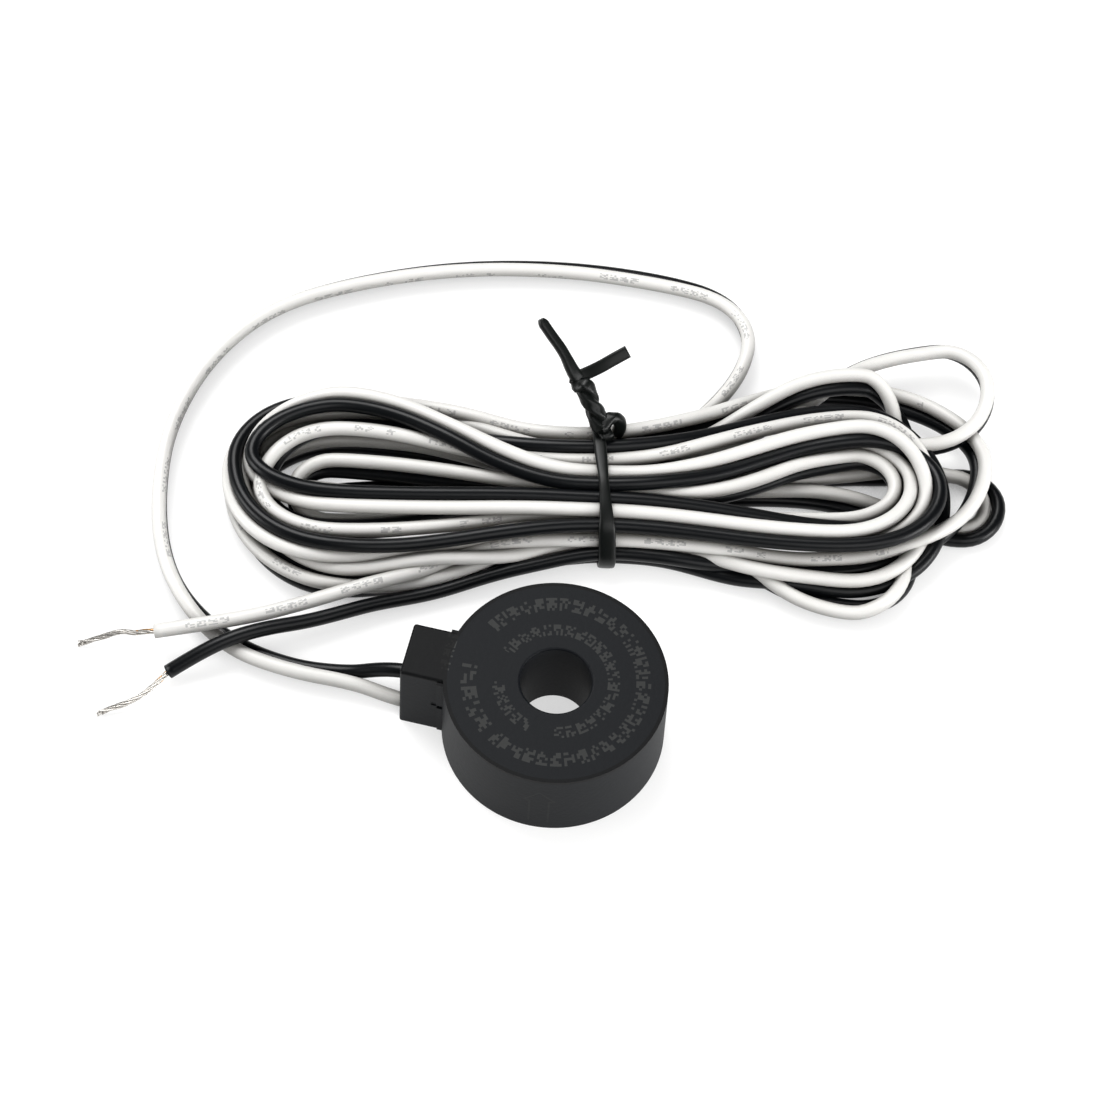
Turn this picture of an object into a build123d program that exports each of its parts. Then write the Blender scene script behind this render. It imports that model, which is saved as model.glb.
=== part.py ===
from build123d import *
import os
from math import cos, radians, sin, tan

os.makedirs("parts", exist_ok=True)

# Solid-core current transformer with a hanked twin lead, in millimetres.
#
# The origin is on the axis of the primary window, at the underside, which is the potted side
# and rests on the table. +Z runs up the window to the marked face, and the lead box points
# along -X. Every hidden piece is nested between the window tube and the side wall, so a change
# of diameter, height or wall moves the whole stack.

# --- Housing ---------------------------------------------------------------------------------
body_diameter = 22.0  # drum, at the marked face
body_height = 9.8
window_diameter = 7.0  # hole that the primary conductor passes through
draft = 1.2  # degrees; the moulding widens towards its open, potted side
side_wall = 1.0
window_wall = 0.8
face_wall = 1.2
edge_round = 0.3
mouth_round = 0.25

# --- Lead box --------------------------------------------------------------------------------
box_depth = 4.0  # from the drum's wall to the box's end face, at the marked face
box_width = 5.7
box_wall = 0.6
web_reach = 0.25  # the webs that stiffen the box's corners reach this far past the drum
web_proud = 0.35
nick_width = 0.6  # moulded nick halfway up each web
nick_height = 0.6

# --- Core, winding and insulation --------------------------------------------------------------
potting_gap = 0.35  # potting between the wound ring and the walls
potting_cover = 1.0  # potting over the wound ring at the open side
ring_round = 0.8
tape_thickness = 0.12
winding_share = 0.14  # depth of the wound layers on each side, as a share of the ring's width
case_wall = 0.4
case_lid_thickness = 0.5
core_clearance = 0.05

# --- Twin lead -------------------------------------------------------------------------------
wire_diameter = 1.5  # over the insulation of one conductor
strand_diameter = 0.6  # the bundle of bare strands
exit_clearance = 0.1  # round each wire, in the end wall
white_side_gap = 0.2  # each wire's distance from its side of the pocket
black_side_gap = 0.7
white_exit_height = 1.0
black_exit_height = 3.3
inner_lead = 0.6  # insulated wire inside the end wall
tail_reach = 3.2  # each wire runs straight out of the end wall for this length
joint_diameter = 0.9
joint_length = 2.0
sleeve_wall = 0.15
magnet_wire_diameter = 0.25
magnet_wire_climb = 0.7  # of its way from the joint to the tape, the wire climbs over this share
white_entry_height = 3.0  # where each end of the winding leaves its tape
black_entry_height = 4.4

# --- Hank ------------------------------------------------------------------------------------
hank_centre = (-0.4, 25.0)  # under the tie
hank_turn = 12.0  # degrees between the hank and the X axis
tie_width = 1.9
tie_thickness = 0.9
tie_stem_turn = 360.0  # degrees of twist from the foot of the stem to its head

# --- Sizes that follow -----------------------------------------------------------------------
body_radius = body_diameter / 2
box_reach = body_radius + box_depth
window_radius = window_diameter / 2
spread = body_height * tan(radians(draft))  # how far the draft widens the base
tube_radius = window_radius + window_wall
cavity_radius = body_radius - side_wall
cavity_top = body_height - face_wall
pocket_reach = box_reach - box_wall
pocket_half = box_width / 2 - box_wall
wire_radius = wire_diameter / 2

ring_inner = tube_radius + potting_gap
ring_outer = cavity_radius - potting_gap
ring_low = potting_cover
ring_high = cavity_top - potting_gap
ring_middle = (ring_inner + ring_outer) / 2
winding_build = winding_share * (ring_outer - ring_inner)
case_inset = tape_thickness + winding_build  # the core case lies this deep in the ring

white_exit_y = -(pocket_half - wire_radius - white_side_gap)
black_exit_y = pocket_half - wire_radius - black_side_gap
lead_start = -(pocket_reach - inner_lead)
joint_end = lead_start + joint_length

# --- Routes of the leads ---------------------------------------------------------------------
tail_straight = 4.0  # each wire lies in line with the bonded pair before joining it
# The bonded twin lead lies flat on the table, from where its two wires come together to the hank.
loop_height = wire_radius
loop_route = [
    (-27.0, -1.5),
    (-33.5, -1.3),
    (-39.5, 2.4),
    (-44.2, 8.6),
    (-47.0, 16.4),
    (-48.2, 25.2),
    (-46.8, 34.4),
    (-41.8, 42.0),
    (-33.4, 47.4),
    (-23.0, 51.6),
    (-11.4, 54.4),
    (-0.5, 55.6),
    (6.2, 55.2),
    (10.2, 51.6),
    (10.9, 46.6),
    (9.0, 41.4),
    (5.4, 35.8),
    (0.5, 31.0),
]
# The two free ends come out of the hank side by side, part, and cross over the twin lead.
white_end_route = [
    (1.0, 20.7, 3.4),
    (-6.0, 17.7, 2.9),
    (-13.0, 13.8, 2.3),
    (-20.0, 10.3, 2.0),
    (-27.0, 6.3, 2.9),
    (-33.8, 3.2, 3.5),
    (-41.2, 0.3, 3.1),
]
black_end_route = [
    (0.4, 20.8, 2.1),
    (-5.2, 16.2, 2.1),
    (-12.2, 12.2, 1.5),
    (-19.4, 8.6, 1.2),
    (-25.6, 4.9, 2.2),
    (-31.4, 1.5, 3.3),
    (-35.8, -1.0, 2.9),
    (-38.9, -4.0, 1.3),
]
# Bends of the bare strands, past a first straight millimetre.
bare_straight = 1.2
white_strand_bends = [(-43.9, -0.9, 2.4), (-45.4, -0.9, 1.8), (-47.4, -2.0, 1.0), (-48.9, -2.7, 0.5)]
black_strand_bends = [(-40.7, -6.9, 0.8), (-41.8, -8.4, 0.9), (-43.0, -9.0, 0.7), (-44.4, -9.9, 0.4)]

# Outline of the hank at stations along it: station, near side, far side, underside, top.
# The tie lifts the underside by its own thickness where it passes below the turns.
hank_sections = [
    (-40.6, 0.4, 3.8, 0.9, 2.6),
    (-39.6, -1.8, 5.8, 0.4, 4.2),
    (-37.0, -5.2, 8.6, 0.15, 6.0),
    (-31.0, -8.2, 11.6, 0.1, 7.4),
    (-22.0, -8.2, 11.0, 0.1, 7.8),
    (-11.0, -7.0, 9.4, 0.2, 7.8),
    (-2.0, -6.2, 8.2, tie_thickness, 7.6),
    (2.0, -6.2, 8.2, tie_thickness, 7.6),
    (11.0, -6.8, 11.4, 0.2, 7.8),
    (22.0, -8.6, 15.2, 0.1, 7.8),
    (31.0, -7.0, 16.4, 0.1, 7.2),
    (37.0, -2.0, 13.2, 0.15, 6.0),
    (39.8, 1.8, 9.8, 0.4, 4.2),
    (40.8, 4.2, 7.6, 0.9, 2.6),
]
hank_roundness = 0.42  # corner radius as a share of a section's smaller side
# The tie's stem rises from the top of the hank, leaning back, and divides into two tails.
# Along the hank, across it, height:
stem_foot = (-0.5, 5.4)
stem_head = (-2.4, 8.6, 13.5)
left_tail_tip = (-7.0, 13.5, 16.5)
right_tail_tip = (1.6, 11.6, 15.5)


# --- Shared shapes ---------------------------------------------------------------------------
def ring_section(inset, corner):
    """Section of the wound ring, drawn in by the given depth on all four sides."""
    width = ring_outer - ring_inner - 2 * inset
    height = ring_high - ring_low - 2 * inset
    with BuildSketch(Plane.XZ) as section:
        with Locations((ring_middle, (ring_low + ring_high) / 2)):
            RectangleRounded(width, height, corner)
    return section.sketch


def arc_radii(points):
    """Radius of each corner of a lead's path: as large as the two runs beside it allow."""
    runs = [Vector(*end) - Vector(*start) for start, end in zip(points, points[1:])]
    radii = []
    for before, after in zip(runs, runs[1:]):
        half_turn = radians(before.get_angle(after)) / 2
        radii.append(0.45 * min(before.length, after.length) / tan(half_turn))
    return radii


def lead_path(name, points):
    """Straight runs joined by tangent arcs."""
    radii = arc_radii(points)
    print(name, "arc radii", [round(radius, 1) for radius in radii])
    with BuildLine() as path:
        FilletPolyline(*points, radius=radii)
    return path.wire()


def round_lead(name, points, diameter):
    """A plain round wire along a path."""
    path = lead_path(name, points)
    with BuildPart() as lead:
        with BuildSketch(Plane(origin=path @ 0, z_dir=path % 0)) as section:
            Circle(diameter / 2)
        sweep(path=path)
    print(name, "length", round(path.length, 1), "volume", round(lead.part.volume, 2),
          "section x length", round(section.sketch.area * path.length, 2))
    return lead.part


def stripped_end(name, lead_points, bends):
    """Bare strands that carry straight on from the cut end of a wire and then bend."""
    end = Vector(*lead_points[-1])
    heading = (end - Vector(*lead_points[-2])).normalized()
    second = end + heading * bare_straight
    return round_lead(name, [tuple(end), tuple(second), *bends], strand_diameter)


def finish(part, name):
    """Label a finished piece and write its file."""
    part.label = name
    export_step(part, f"parts/{name}.step")


# --- Housing: one moulded cup with its window tube and lead box -------------------------------
with BuildPart() as box_blank:
    with BuildSketch(Plane.XY.offset(body_height)):
        with Locations((-(box_reach + tube_radius) / 2, 0)):
            Rectangle(box_reach - tube_radius, box_width)
    extrude(amount=-body_height, taper=-draft)
    end_edges = box_blank.faces().sort_by(Axis.X)[0].edges().sort_by(Axis.Z)[1:]
    side_edges = box_blank.edges().group_by(Axis.Z)[-1].filter_by(Axis.X)
    fillet(end_edges + side_edges, edge_round)

# The space inside the cup, seen from below: a ring round the window tube and a pocket in the box.
with BuildSketch() as cavity_plan:
    Circle(cavity_radius)
    Circle(tube_radius, mode=Mode.SUBTRACT)
    with Locations((-(pocket_reach + ring_middle) / 2, 0)):
        Rectangle(pocket_reach - ring_middle, 2 * pocket_half)

# Slots in the box's end wall, open at the rim, that the wires are dropped into.
end_plane = Plane(origin=(-pocket_reach, 0, 0), x_dir=(0, 1, 0), z_dir=(1, 0, 0))
slot_radius = wire_radius + exit_clearance
with BuildSketch(end_plane) as slot_plan:
    for exit_y, exit_height in ((white_exit_y, white_exit_height), (black_exit_y, black_exit_height)):
        with Locations((exit_y, exit_height)):
            Circle(slot_radius)
        with Locations((exit_y, exit_height / 2)):
            Rectangle(2 * slot_radius, exit_height)

with BuildPart() as housing:
    with BuildSketch(Plane.XZ) as drum_section:
        with BuildLine():
            Polyline(
                (window_radius, 0),
                (body_radius + spread, 0),
                (body_radius, body_height),
                (window_radius, body_height),
                close=True,
            )
        make_face()
        mouth, rim = drum_section.vertices().group_by(Axis.Y)[-1].sort_by(Axis.X)
        fillet(mouth, mouth_round)
        fillet(rim, edge_round)
    revolve(axis=Axis.Z)
    add(box_blank.part)
    # Webs in the corners between box and drum, each with a moulded nick halfway up
    web_inner = body_radius - side_wall
    with BuildSketch():
        with Locations((-(body_radius + web_reach + web_inner) / 2, 0)):
            Rectangle(body_radius + web_reach - web_inner, box_width + 2 * web_proud)
    extrude(amount=body_height - edge_round)
    with BuildSketch(Plane.XY.offset((body_height - nick_height) / 2)):
        with Locations((-(body_radius + web_reach), box_width / 2 + web_proud),
                       (-(body_radius + web_reach), -box_width / 2 - web_proud)):
            Rectangle(2 * nick_width, 2 * web_proud)
    extrude(amount=nick_height, mode=Mode.SUBTRACT)
    extrude(cavity_plan.sketch, amount=cavity_top, mode=Mode.SUBTRACT)
    extrude(slot_plan.sketch, amount=-(box_wall + spread), mode=Mode.SUBTRACT)
finish(housing.part, "housing")

# --- Wound ring: core in its case, secondary winding and tape ------------------------------------
case_round = ring_round - case_inset / 2
case_inner = ring_inner + case_inset
case_outer = ring_outer - case_inset
case_low = ring_low + case_inset
case_high = ring_high - case_inset
trough_inner = case_inner + case_wall
trough_outer = case_outer - case_wall
trough_floor = case_low + case_wall
lid_floor = case_high - case_lid_thickness

with BuildPart() as core_case:
    add(ring_section(case_inset, case_round))
    revolve(axis=Axis.Z)
    with BuildSketch(Plane.XY.offset(trough_floor)):
        Circle(trough_outer)
        Circle(trough_inner, mode=Mode.SUBTRACT)
    extrude(amount=ring_high, mode=Mode.SUBTRACT)
finish(core_case.part, "core_case")

with BuildPart() as core_case_lid:
    with BuildSketch(Plane.XY.offset(lid_floor)):
        Circle(trough_outer)
        Circle(trough_inner, mode=Mode.SUBTRACT)
    extrude(amount=case_lid_thickness)
finish(core_case_lid.part, "core_case_lid")

with BuildPart() as toroidal_core:
    with BuildSketch(Plane.XY.offset(trough_floor)):
        Circle(trough_outer - core_clearance)
        Circle(trough_inner + core_clearance, mode=Mode.SUBTRACT)
    extrude(amount=lid_floor - trough_floor)
finish(toroidal_core.part, "toroidal_core")

with BuildPart() as wound_envelope:
    add(ring_section(tape_thickness, ring_round - tape_thickness / 2))
    revolve(axis=Axis.Z)

with BuildPart() as case_envelope:
    add(ring_section(case_inset, case_round))
    revolve(axis=Axis.Z)

with BuildPart() as secondary_winding:
    add(wound_envelope.part)
    add(case_envelope.part, mode=Mode.SUBTRACT)
finish(secondary_winding.part, "secondary_winding")


def magnet_wire(name, exit_y, exit_height, entry_height):
    """One end of the winding, from its solder joint up into the wound ring."""
    way = -ring_outer - joint_end
    level_run = way * (1 - magnet_wire_climb) / 2
    points = [
        (joint_end, exit_y, exit_height),
        (joint_end + level_run, exit_y, exit_height),
        (-ring_outer - level_run, exit_y, entry_height),
        (-ring_middle, exit_y, entry_height),
    ]
    with BuildPart() as wire:
        add(round_lead(name, points, magnet_wire_diameter))
        add(wound_envelope.part, mode=Mode.SUBTRACT)
    finish(wire.part, name)
    return wire.part


magnet_wires = [
    magnet_wire("white_magnet_wire", white_exit_y, white_exit_height, white_entry_height),
    magnet_wire("black_magnet_wire", black_exit_y, black_exit_height, black_entry_height),
]

with BuildPart() as ring_envelope:
    add(ring_section(0, ring_round))
    revolve(axis=Axis.Z)

with BuildPart() as winding_tape:
    add(ring_envelope.part)
    add(wound_envelope.part, mode=Mode.SUBTRACT)
    add(magnet_wires, mode=Mode.SUBTRACT)
finish(winding_tape.part, "winding_tape")


# --- Solder joints and their sleeves, inside the lead box -------------------------------------
def joint_pieces(colour, exit_y, exit_height):
    """The soldered splice at the inner end of one wire, and the sleeve shrunk over it."""
    splice_plane = Plane(origin=(lead_start, exit_y, exit_height), z_dir=(1, 0, 0))
    with BuildPart() as joint:
        with BuildSketch(splice_plane):
            Circle(joint_diameter / 2)
        extrude(amount=joint_length)
        fillet(joint.edges().sort_by(Axis.X)[-1], joint_diameter / 8)
    with BuildPart() as sleeve:
        with BuildSketch(splice_plane):
            Circle(joint_diameter / 2 + sleeve_wall)
            Circle(joint_diameter / 2, mode=Mode.SUBTRACT)
        extrude(amount=joint_length)
    finish(joint.part, f"{colour}_solder_joint")
    finish(sleeve.part, f"{colour}_joint_sleeve")
    return [joint.part, sleeve.part]


joints = joint_pieces("white", white_exit_y, white_exit_height)
joints += joint_pieces("black", black_exit_y, black_exit_height)

# --- Twin lead: two tails out of the box, then the bonded pair to the hank ------------------------
loop_points = [(x, y, loop_height) for x, y in loop_route]
loop_start = Vector(*loop_points[0])
loop_heading = (Vector(*loop_points[1]) - loop_start).normalized()
black_side = loop_heading.cross(Vector(0, 0, 1)) * wire_radius  # the inside of the loop


def tail_points(side, exit_y, exit_height):
    """Straight out of the end wall, down to the table and into line with the bonded pair."""
    joined = loop_start + side
    return [
        (lead_start, exit_y, exit_height),
        (-(box_reach + tail_reach), exit_y, exit_height),
        tuple(joined - loop_heading * tail_straight),
        tuple(joined),
    ]


white_tail = round_lead("white_lead_tail", tail_points(-black_side, white_exit_y, white_exit_height),
                        wire_diameter)
black_tail = round_lead("black_lead_tail", tail_points(black_side, black_exit_y, black_exit_height),
                        wire_diameter)
finish(white_tail, "white_lead_tail")
finish(black_tail, "black_lead_tail")

# --- Potting: fills the cup round everything that is cast in -------------------------------------
with BuildPart() as potting:
    extrude(cavity_plan.sketch, amount=cavity_top)
    extrude(slot_plan.sketch, amount=-box_wall)
    add(ring_envelope.part, mode=Mode.SUBTRACT)
    add([*magnet_wires, *joints, white_tail, black_tail], mode=Mode.SUBTRACT)
finish(potting.part, "potting")

# --- Hank: the wound-up length of the lead, as one closed form ----------------------------------
hank_plane = Plane(
    origin=(*hank_centre, 0),
    x_dir=(cos(radians(hank_turn)), sin(radians(hank_turn)), 0),
    z_dir=(0, 0, 1),
)


def across_hank(station):
    """Plane across the hank: its x runs from the near side to the far side, its y upwards."""
    centre = hank_plane.from_local_coords((station, 0, 0))
    return Plane(origin=centre, x_dir=hank_plane.y_dir, z_dir=hank_plane.x_dir)


def hank_outline(station, near, far, low, high, margin=0.0):
    """Rounded outline of the hank at one station, let out by a margin."""
    width = far - near + 2 * margin
    height = high - low + 2 * margin
    with BuildSketch(across_hank(station)) as outline:
        with Locations(((near + far) / 2, (low + high) / 2)):
            RectangleRounded(width, height, hank_roundness * min(width, height))
    return outline.sketch


with BuildPart() as lead_hank:
    for section in hank_sections:
        add(hank_outline(*section))
    loft()
finish(lead_hank.part, "lead_hank")

with BuildPart() as twin_lead_loop:
    loop_path = lead_path("twin_lead_loop", loop_points)
    with BuildSketch(Plane(origin=loop_path @ 0, x_dir=black_side, z_dir=loop_path % 0)):
        SlotOverall(2 * wire_diameter, wire_diameter)
    sweep(path=loop_path)
    add(lead_hank.part, mode=Mode.SUBTRACT)
finish(twin_lead_loop.part, "twin_lead_loop")

for colour, route in (("white", white_end_route), ("black", black_end_route)):
    with BuildPart() as lead_end:
        add(round_lead(f"{colour}_lead_end", route, wire_diameter))
        add(lead_hank.part, mode=Mode.SUBTRACT)
    finish(lead_end.part, f"{colour}_lead_end")

finish(stripped_end("white_bare_strands", white_end_route, white_strand_bends), "white_bare_strands")
finish(stripped_end("black_bare_strands", black_end_route, black_strand_bends), "black_bare_strands")

# --- Twist tie: a flat strip round the waist of the hank, twisted on itself above it ---------------
waist = next(section for section in hank_sections if section[0] > 0)
stem_base = hank_plane.from_local_coords((*stem_foot, waist[-1] + tie_thickness / 2))
stem_top = hank_plane.from_local_coords(stem_head)
stem_axis = (stem_top - stem_base).normalized()
stem_length = (stem_top - stem_base).length
stem_steps = 8

with BuildPart() as tie_stem:
    for step in range(stem_steps + 1):
        level = Plane(origin=stem_base + stem_axis * (stem_length * step / stem_steps), z_dir=stem_axis)
        with BuildSketch(level.rotated((0, 0, tie_stem_turn * step / stem_steps))):
            SlotOverall(1.2 * tie_width, 1.5 * tie_thickness)
    loft()

with BuildPart() as twist_tie:
    extrude(hank_outline(-tie_width / 2, *waist[1:], margin=tie_thickness), amount=tie_width)
    add(lead_hank.part, mode=Mode.SUBTRACT)
    add(tie_stem.part)
    for tip in (left_tail_tip, right_tail_tip):
        tail = hank_plane.from_local_coords(tip) - stem_top
        with BuildSketch(Plane(origin=stem_top - stem_axis * tie_thickness, z_dir=tail)):
            SlotOverall(tie_width, tie_thickness)
        extrude(amount=tail.length)
finish(twist_tie.part, "twist_tie")
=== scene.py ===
import math
from collections import namedtuple

import bpy
import numpy as np
from mathutils import Matrix, Vector


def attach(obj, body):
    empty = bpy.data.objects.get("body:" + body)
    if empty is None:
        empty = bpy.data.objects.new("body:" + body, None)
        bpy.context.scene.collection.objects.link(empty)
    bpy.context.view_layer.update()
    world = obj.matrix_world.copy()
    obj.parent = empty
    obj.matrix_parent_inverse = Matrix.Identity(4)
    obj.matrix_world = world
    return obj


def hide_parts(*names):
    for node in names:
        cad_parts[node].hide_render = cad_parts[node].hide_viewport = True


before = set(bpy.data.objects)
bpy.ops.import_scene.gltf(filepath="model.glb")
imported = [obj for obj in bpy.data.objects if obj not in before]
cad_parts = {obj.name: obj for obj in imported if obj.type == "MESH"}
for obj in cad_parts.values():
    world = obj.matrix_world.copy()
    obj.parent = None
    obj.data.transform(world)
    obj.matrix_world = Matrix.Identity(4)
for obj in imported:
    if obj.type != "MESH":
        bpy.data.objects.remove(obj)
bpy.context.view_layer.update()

MM = 0.001
UP = np.array((0.0, 0.0, 1.0))
scene = bpy.context.scene

# --- Sizes, in millimetres -----------------------------------------------------------------------
WIRE = 1.5  # over the insulation of one conductor
TIE_THICK = 0.6
WIRE_STEP = 0.7  # between the points of a wire's centre line
NEAR_TIE = 12.0  # how far across the hank its turns reach where the tie holds them

# --- Camera, fitted to the photograph ------------------------------------------------------------
CAMERA_PLACE = (0.01972, -0.11574, 0.23120)
CAMERA_TURN, CAMERA_DIP, CAMERA_ROLL = 10.33, 59.17, 3.44  # degrees

camera_data = bpy.data.cameras.new("camera")
camera_data.lens = 84.16
camera_data.sensor_width = 36.0
camera_data.clip_start = 0.01
camera_data.clip_end = 10.0
camera = bpy.data.objects.new("camera", camera_data)
scene.collection.objects.link(camera)
turned = (
    Matrix.Rotation(math.radians(CAMERA_TURN), 4, "Z")
    @ Matrix.Rotation(math.radians(90 - CAMERA_DIP), 4, "X")
    @ Matrix.Rotation(math.radians(CAMERA_ROLL), 4, "Z")
)
camera.matrix_world = Matrix.Translation(CAMERA_PLACE) @ turned
scene.camera = camera

# --- Route of the lead ---------------------------------------------------------------------------
# The two wires part from each other at both ends. Each point there: x, y, z of one wire.
WHITE_TAIL = [(-13.8, -1.3, 1.0), (-15.6, -1.3, 1.0), (-17.4, -1.2, 1.2), (-20.4, -1.0, 1.7)]
BLACK_TAIL = [(-13.8, 0.8, 3.3), (-15.8, 0.8, 3.3), (-18.4, 0.7, 2.4), (-21.4, 0.3, 1.0)]
WHITE_END = [
    (-6.3, 19.1, 3.2),
    (-13.0, 15.2, 2.8),
    (-20.0, 11.1, 2.4),
    (-26.7, 6.5, 2.9),
    (-33.4, 2.1, 3.4),
    (-41.2, -0.9, 3.0),
]
BLACK_END = [
    (-6.2, 17.7, 2.2),
    (-12.6, 13.9, 1.9),
    (-19.4, 9.6, 1.8),
    (-25.5, 4.9, 2.3),
    (-31.4, 1.7, 2.9),
    (-35.8, -1.5, 2.4),
    (-38.9, -4.2, 1.3),
]
# The wide loop. Each point: x, y, z of the middle of the pair, and the roll of the pair in degrees.
# At roll 0 the white wire is to the left of the way the route runs, and at 90 it is on top.
LOOP = [
    (-27, -0.8, 1.28, 45),
    (-33.5, 0.1, 1.38, 54),
    (-39.2, 3.4, 1.46, 72),
    (-43.5, 8.4, 1.49, 83),
    (-46.4, 15.9, 1.50, 94),
    (-47.8, 24.8, 1.47, 105),
    (-46.0, 34.5, 1.42, 116),
    (-41.2, 42.3, 1.36, 125),
    (-32.7, 47.9, 1.33, 130),
    (-22.7, 52.4, 1.28, 134),
    (-11.5, 55.2, 1.23, 140),
    (-1.0, 56.1, 1.16, 146),
    (6.3, 55.5, 1.29, 134),
    (10.2, 51.6, 1.48, 102),
    (10.3, 46.4, 1.48, 76),
    (8.2, 41.0, 1.43, 66),
    (4.8, 35.6, 1.68, 64),
    (0.8, 29.4, 2, 80),
    (-3.8, 23.6, 2.0, 90),
]

# --- Hank: eight turns, each a half to the left of the tie and a half to the right of it ---------
HANK_CENTRE = (-0.4, 25.0)
HANK_TURN = math.radians(12.0)
# Where the pair crosses the tie on its way left and on its way right: across, height, roll.
NEAR = [
    (-3.6, 2.2, 90),
    (0.1, 3.0, 90),
    (-3.0, 2.4, 90),
    (0.4, 2.4, 90),
    (-1.5, 4.5, 10),
    (-4.7, 2.15, 120),
    (-1.7, 6.1, -17),
    (-3.5, 4.6, 246),
    (-4.5, 3.15, 507),
]
FAR = [
    (4.6, 2.4, 90),
    (6.3, 2.7, 80),
    (3.1, 2.4, 90),
    (0.4, 4.8, 90),
    (4.0, 6.3, 172),
    (4.2, 4.7, 60),
    (0.7, 6.55, 22),
    (6.4, 5.05, 408),
]
# A half turn: how far out it reaches, the middle and length of the stretch across its end, its
# height and roll there, and the bulges it comes in and goes out by.
Half = namedtuple("Half", "reach middle run height roll bulge_in bulge_out")
# A bulge, where the pair is widest before it bends round the end: how far back from the end,
# across, height, roll, the share of the way from the tie that runs straight, and any places
# on that way, each as along, across, height, roll.
Bulge = namedtuple("Bulge", "back across height roll straight places", defaults=(0.0, ()))
SECOND_TURN = [
    (7.0, 0.6, 2.6, 40),
    (14.0, 1.2, 2.1, 10),
    (21.0, 1.4, 2.0, 10),
    (27.0, 1.3, 2.1, 50),
]
THIRD_TURN = [
    (6.0, 1.3, 2.3, 92),
    (12.0, 2.2, 2.2, 98),
    (18.0, 2.8, 2.1, 106),
    (24.0, 2.6, 1.9, 116),
    (30.0, 1.1, 1.7, 138),
    (34.0, -0.2, 1.5, 154),
]
LEFT = [
    Half(38.3, 1.6, 0.0, 1.5, 80,
         Bulge(11.5, -10.4, 1.5, 90), Bulge(12.0, 9.8, 1.4, 90)),
    Half(36.3, 4.9, 0.0, 2.4, 90,
         Bulge(4.2, 1.2, 2.2, 90, places=SECOND_TURN), Bulge(6.3, 9.2, 2.2, 90)),
    Half(36.8, 1.5, 0.0, 2.0, 90,
         Bulge(12.0, -6.0, 1.6, 90), Bulge(11.0, 8.0, 2.0, 90)),
    Half(32.5, -0.1, 0.0, 3.2, 90,
         Bulge(4.0, -3.7, 2.6, 90), Bulge(3.9, 3.3, 3.6, 62)),
    Half(35.6, 0.4, 0.0, 4.4, 70,
         Bulge(7.6, -4.6, 4.2, 40), Bulge(8.5, 7.4, 5.0, 138, 0.15)),
    Half(38.4, 1.6, 0.0, 2.8, 90,
         Bulge(12.5, -8.9, 2.8, 104), Bulge(12.0, 10.0, 3.0, 70)),
    Half(37.3, 3.4, 0.0, 4.8, -70,
         Bulge(10.0, -2.3, 6.1, -14), Bulge(9.6, 10.1, 6.2, -18, 0.1)),
    Half(38.9, 3.0, 0.0, 4.0, 280,
         Bulge(12.0, -8.1, 4.5, 300), Bulge(9.5, 10.6, 4.0, 300, 0.1)),
]
RIGHT = [
    Half(41.0, 15.6, 0.0, 4.2, 96,
         Bulge(5.0, 20.9, 3.6, 130, 0.1), Bulge(8.0, 7.9, 3.4, 55)),
    Half(31.9, 2.4, 14.0, 1.9, 160,
         Bulge(4.5, 15.6, 5.0, 62, 0.1), Bulge(6.3, -10.5, 0.95, 40, 0.25)),
    Half(41.1, 2.7, 0.0, 1.5, 172,
         Bulge(3.5, 6.2, 1.5, 105), Bulge(3.4, -0.9, 1.5, 165, places=THIRD_TURN)),
    Half(30.6, 2.6, 0.0, 4.0, 100,
         Bulge(4.6, 6.8, 4.2, 95, 0.4), Bulge(6.5, -1.9, 3.8, 90)),
    Half(35.0, 2.2, 0.0, 3.2, 150,
         Bulge(8.5, 11.0, 5.4, 152), Bulge(9.5, -8.6, 2.2, 120)),
    Half(32.2, 2.7, 0.0, 4.8, 110,
         Bulge(7.0, 7.5, 4.6, 100), Bulge(8.2, -3.7, 5.6, 35)),
    Half(34.2, 1.5, 0.0, 5.7, 190,
         Bulge(7.8, 7.5, 6.4, 40, 0.1), Bulge(9.5, -5.2, 5.2, 245)),
    Half(40.0, 6.6, 0.0, 2.7, 420,
         Bulge(15.0, 15.7, 2.3, 415), Bulge(18.0, -6.6, 2.9, 495)),
]
SHARES_OF_WAY = (0.2, 0.4, 0.6, 0.8, 1.0)  # points between the tie and a bulge
BEND_ANGLES = (22.5, 45.0, 67.5, 90.0)  # points between a bulge and the end


def on_hank(u, v):
    """World x and y of a place along and across the hank."""
    c, s = math.cos(HANK_TURN), math.sin(HANK_TURN)
    return HANK_CENTRE[0] + u * c - v * s, HANK_CENTRE[1] + u * s + v * c


def in_hank(points):
    """Along, across and height of world points in the frame of the hank."""
    c, s = math.cos(HANK_TURN), math.sin(HANK_TURN)
    x, y = points[:, 0] - HANK_CENTRE[0], points[:, 1] - HANK_CENTRE[1]
    return np.stack([x * c + y * s, y * c - x * s, points[:, 2]], 1)


def ease(t):
    """A share from 0 to 1 that starts and stops gently."""
    return (1 - math.cos(math.pi * t)) / 2


def mix(a, b, t):
    """Numbers a share t of the way from those of a to those of b."""
    return [p + (q - p) * t for p, q in zip(a, b)]


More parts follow.
